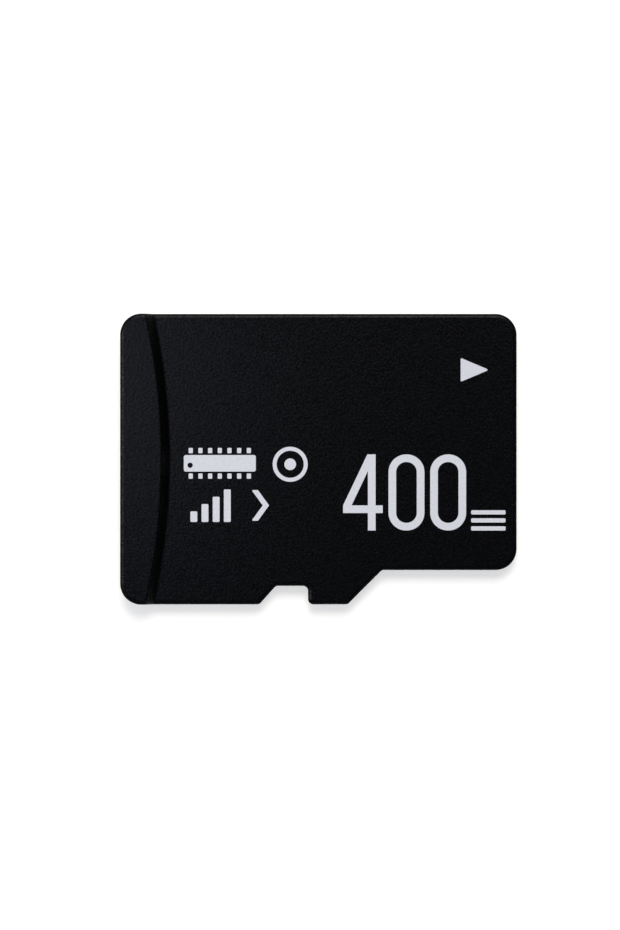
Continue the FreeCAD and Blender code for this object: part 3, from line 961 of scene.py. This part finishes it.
def tinned_ceramic(name, dark_hex, light_hex):
    """Ceramic of a chip, with tin at both of its ends."""
    material, tree, place = start_material(name)
    centred = add_node(tree, "ShaderNodeMapping", {
        "Vector": place, "Location": (-(chip_low.x + chip_high.x) / 2, 0, 0),
    })
    x = add_node(tree, "ShaderNodeSeparateXYZ", {0: centred}).outputs["X"]
    off = add_node(tree, "ShaderNodeMath", {0: x}, operation="ABSOLUTE")
    tinned = add_node(tree, "ShaderNodeMath", {
        0: off, 1: (chip_high.x - chip_low.x) / 2 - TIN_CAP,
    }, operation="GREATER_THAN")
    fired = add_node(tree, "ShaderNodeTexNoise", {"Vector": place, "Scale": per_metre(FIRED_GRAIN_MM)})
    ceramic = add_node(tree, "ShaderNodeMix", {
        SHARE: fired, FROM: linear(dark_hex), TO: linear(light_hex),
    }, data_type="RGBA")
    tint = add_node(tree, "ShaderNodeMix", {
        SHARE: tinned, FROM: ceramic.outputs[MIXED], TO: linear("#C9CACC"),
    }, data_type="RGBA")
    dull = add_node(tree, "ShaderNodeMapRange", {"Value": fired, **FIRED_DULL})
    relief = add_node(tree, "ShaderNodeBump", {"Distance": FIRED_DEPTH, "Height": fired})
    close_material(tree, {
        "Base Color": tint.outputs[MIXED], "Roughness": dull, "Metallic": tinned, "Normal": relief,
    })
    print(name, "caps", round(TIN_CAP / MM, 3), "mm long")
    return material


capacitor_ceramic = tinned_ceramic("fired_capacitor_ceramic", "#B49B80", "#CDB89E")
resistor_ceramic = tinned_ceramic("fired_resistor_ceramic", "#3C3C40", "#4E4E53")

# %% Bond wire
# Gold drawn through a die and welded at both ends. The eye gets bright hairs, a little duller
# where the draw marks run.
DRAW_MARK_MM = 0.05
DRAW_MARK_DETAIL = 1.0
WIRE_DULL = {"To Min": 0.15, "To Max": 0.3}

bond_wire, tree, place = start_material("drawn_gold_wire")
marks = add_node(tree, "ShaderNodeTexNoise", {
    "Vector": place, "Scale": per_metre(DRAW_MARK_MM), "Detail": DRAW_MARK_DETAIL,
})
close_material(tree, {**patterned(tree, marks, "#DDB45C", "#F0CF86", WIRE_DULL), "Metallic": 1.0})
print(bond_wire.name, "marks", DRAW_MARK_MM, "mm wide")

# %% Finishes of the hidden pieces
finishes = {
    "die": silicon, "film": attach_film, "capacitor": capacitor_ceramic, "resistor": resistor_ceramic,
    "wires": bond_wire,
}
for name, node in hidden_nodes.items():
    kind = next(word for word in finishes if word in name.split("_"))
    for slot in node.material_slots:
        slot.material = finishes[kind]
print(len(hidden_nodes), "hidden pieces finished")

# %% [markdown]
# Printed marks
# The face carries white marks: an arrow for the way in, a number for the capacity and a few
# plain signs. They are pad printed, a film of ink about a hundredth of a millimetre thick. A
# picture would blur close up, so each mark is a thin plate of ink that sinks a little into the
# face. A flat filled curve draws the single marks, and what repeats comes from the same row of
# blocks as the contacts. Curves are drawn in millimetres, because filling loses detail in metres.

# %% Printing ink
# White pigment in a matt binder, pressed on by a silicone pad. The eye gets a cool white that is
# a little uneven, because the ink lies on the grain of the moulding.
INK_RELIEF = {"Distance": 0.002 * MM}
INK_DULL = {"To Min": 0.45, "To Max": 0.65}
INK_IOR = 1.5
INK_SPECULAR = 0.2

printed_ink, tree, place = start_material("pad_printed_white_ink")
turned = add_node(tree, "ShaderNodeMapping", {"Vector": place, "Rotation": GRAIN_TURN})
grain = add_node(tree, "ShaderNodeTexNoise", {"Vector": turned, **GRAIN_NOISE})
close_material(tree, {
    **patterned(tree, grain, "#CBC9CA", "#E2E0E0", INK_DULL, INK_RELIEF),
    "IOR": INK_IOR, "Specular IOR Level": INK_SPECULAR,
})
print(printed_ink.name, "on a grain of", GRAIN_MM, "mm")

# %% Ink plates
INK_SINK = 0.002 * MM
INK_RISE = 0.008 * MM
INK_WELD_MM = 0.0005


def ink_plate(name, *outlines):
    """Piece of ink inside closed outlines in millimetres. An outline inside another is a hole."""
    drawing = bpy.data.curves.new(name, "CURVE")
    drawing.dimensions = "2D"
    drawing.fill_mode = "BOTH"
    drawing.extrude = (INK_SINK + INK_RISE) / 2 / MM
    for outline in outlines:
        spline = drawing.splines.new("POLY")
        spline.points.add(len(outline) - 1)
        spline.use_cyclic_u = True
        for point, place in zip(spline.points, outline):
            point.co = (*place, 0, 1)
    holder = add_object(name, drawing)
    bm = bmesh.new()
    bm.from_mesh(evaluated_mesh(holder))
    bpy.data.objects.remove(holder)
    bmesh.ops.remove_doubles(bm, verts=bm.verts, dist=INK_WELD_MM)
    bmesh.ops.recalc_face_normals(bm, faces=bm.faces)
    bmesh.ops.scale(bm, vec=(MM, MM, MM), verts=bm.verts)
    bmesh.ops.translate(bm, vec=(0, 0, FACE_Z + (INK_RISE - INK_SINK) / 2), verts=bm.verts)
    plate = add_object(name, plain_mesh(name, bm))
    plate.data.materials.append(printed_ink)
    settle(plate)
    report(plate)
    return plate


def rounded(corners, radius):
    """Places round an outline whose corners all have one radius."""
    return [place for place, outward in rounded_outline([(x, y, radius) for x, y in corners])]


def circle(x, y, radius):
    """Places round a circle."""
    steps = round(2 * math.pi / TURN_STEP)
    angles = [2 * math.pi * step / steps for step in range(steps)]
    return [(x + radius * math.cos(a), y + radius * math.sin(a)) for a in angles]


# %% Arrow
# The sizes and places of all marks are in millimetres.
ARROW_TIP = (6.453, 3.38)
ARROW_BACK = 5.376
ARROW_HALF = 0.454
ARROW_ROUND = 0.04

tip_x, tip_y = ARROW_TIP
arrow = ink_plate("insertion_arrow", rounded([
    (ARROW_BACK, tip_y + ARROW_HALF), (ARROW_BACK, tip_y - ARROW_HALF), (tip_x, tip_y),
], ARROW_ROUND))

# %% Number
STROKE = 0.29
FIGURE_LEFT = 0.926
FIGURE_LOW = -2.7
FIGURE_HEIGHT = 2.88
FOUR_WIDTH = 1.5
ZERO_WIDTH = 1.36
FIGURE_GAP = 0.219
CROSSBAR_LOW = 0.66
STEM_INSET = 0.27
FOUR_TOP = 0.31
ROUND_GAP = 0.01


def figure_four(left, low):
    """Outline and counter of a plain four."""
    stem_right = left + FOUR_WIDTH - STEM_INSET
    stem_left = stem_right - STROKE
    bar_low = low + CROSSBAR_LOW
    bar_high = bar_low + STROKE
    top = low + FIGURE_HEIGHT
    outer_top = Vector((stem_right - FOUR_TOP, top))
    outer_low = Vector((left, bar_high))
    slant = (outer_top - outer_low).normalized()
    inner = outer_low + Vector((slant.y, -slant.x)) * STROKE
    inner_low = inner + slant * (bar_high - inner.y) / slant.y
    inner_high = inner + slant * (stem_left - inner.x) / slant.x
    outside = [
        outer_top, outer_low, (left, bar_low), (stem_left, bar_low), (stem_left, low), (stem_right, low),
        (stem_right, bar_low), (left + FOUR_WIDTH, bar_low), (left + FOUR_WIDTH, bar_high),
        (stem_right, bar_high), (stem_right, top),
    ]
    return [outside, [inner_high, inner_low, (stem_left, bar_high)]]


def figure_zero(left, low):
    """Outer and inner outline of a plain zero."""
    outlines = []
    for inset in (0, STROKE):
        right, high = left + ZERO_WIDTH - inset, low + FIGURE_HEIGHT - inset
        start, foot = left + inset, low + inset
        radius = (right - start) / 2 - ROUND_GAP
        outlines.append(rounded([(start, high), (start, foot), (right, foot), (right, high)], radius))
    return outlines


first_zero = FIGURE_LEFT + FOUR_WIDTH + FIGURE_GAP
second_zero = first_zero + ZERO_WIDTH + FIGURE_GAP
number = ink_plate(
    "capacity_number", *figure_four(FIGURE_LEFT, FIGURE_LOW), *figure_zero(first_zero, FIGURE_LOW),
    *figure_zero(second_zero, FIGURE_LOW),
)

# %% Plain signs
CHIP_BOX = (-5.103, -0.741, -2.376, 0.426)
CHIP_ROUND = 0.08
PIN_LENGTH = 0.2
PIN_GAP = 0.07
DOT_RADIUS = 0.1
DOT_INSET = 0.24
RING_MIDDLE = (-1.075, -0.194)
RING_RADIUS = 0.663
RING_STROKE = 0.15
RING_DOT_RADIUS = 0.221
CHEVRON_BOX = (-2.538, -2.332, -1.874, -1.169)
CHEVRON_STROKE = 0.24
CHEVRON_ROUND = 0.03

left, low, right, high = CHIP_BOX
body_foot, body_top = low + PIN_LENGTH + PIN_GAP, high - PIN_LENGTH - PIN_GAP
chip = ink_plate(
    "chip_sign",
    rounded([(left, body_top), (left, body_foot), (right, body_foot), (right, body_top)], CHIP_ROUND),
    circle(left + DOT_INSET, body_foot + DOT_INSET, DOT_RADIUS),
)
ring = ink_plate(
    "ring_sign", circle(*RING_MIDDLE, RING_RADIUS), circle(*RING_MIDDLE, RING_RADIUS - RING_STROKE),
    circle(*RING_MIDDLE, RING_DOT_RADIUS),
)
left, low, right, high = CHEVRON_BOX
middle = (low + high) / 2
chevron = ink_plate("chevron_sign", rounded([
    (left, high), (right - CHEVRON_STROKE, middle), (left, low), (left + CHEVRON_STROKE, low),
    (right, middle), (left + CHEVRON_STROKE, high),
], CHEVRON_ROUND))

# %% Bars and pins
PIN_COUNT = 7
PIN_WIDTH = 0.16
PIN_ROUND = 0.03
BAR_COUNT = 4
BARS_CORNER = (-4.852, -2.377)
BAR_WIDTH = 0.26
BAR_PITCH = 0.422
BAR_FIRST = 0.4
BAR_STEP = 0.277
STACK_COUNT = 3
STACK_BOX = (5.773, -2.702, 7.075, -1.934)
STACK_BAR = 0.16
BAR_ROUND = 0.04
UPRIGHT = math.pi / 2


def ink_row(name, count, place, turn=0.0, **sizes_mm):
    """Row of printed blocks, with its place and sizes in millimetres."""
    x, y = place
    row = add_row(
        name, printed_ink, count=count, place=(x * MM, y * MM, FACE_Z - INK_SINK), turn=turn,
        thickness=INK_SINK + INK_RISE, **{size: value * MM for size, value in sizes_mm.items()},
    )
    report(row)
    return row


left, low, right, high = CHIP_BOX
pin_pitch = (right - left - 2 * CHIP_ROUND) / PIN_COUNT
first_pin = left + CHIP_ROUND + pin_pitch / 2
pins = [ink_row(
    name, PIN_COUNT, (first_pin, foot), UPRIGHT, pitch=-pin_pitch, length=PIN_LENGTH, width=PIN_WIDTH,
    corner_radius=PIN_ROUND,
) for name, foot in (("lower_pins", low), ("upper_pins", high - PIN_LENGTH))]
left, low = BARS_CORNER
bars = ink_row(
    "rising_bars", BAR_COUNT, (left + BAR_WIDTH / 2, low), UPRIGHT, pitch=-BAR_PITCH, length=BAR_FIRST,
    length_step=BAR_STEP, width=BAR_WIDTH, corner_radius=BAR_ROUND,
)
left, low, right, high = STACK_BOX
stack = ink_row(
    "stacked_bars", STACK_COUNT, (left, low + STACK_BAR / 2),
    pitch=(high - low - STACK_BAR) / (STACK_COUNT - 1), length=right - left, width=STACK_BAR,
    corner_radius=BAR_ROUND,
)

# %% [markdown]
# Riding on the body
# Every piece now rides on the one body of the card. The three modelled pieces stand for the
# solids that they were made from, which are hidden.

# %% Ride and replace
for piece, slot, nodes in (
    (moulding, "mould_compound", ["moulded_body"]),
    (laminate, "laminate", ["substrate"]),
    (contacts, "gold_plate", contact_nodes),
):
    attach(piece, "root")
    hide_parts(*nodes)
for mark in (arrow, number, chip, *pins, ring, chevron, bars, stack):
    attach(mark, "root")
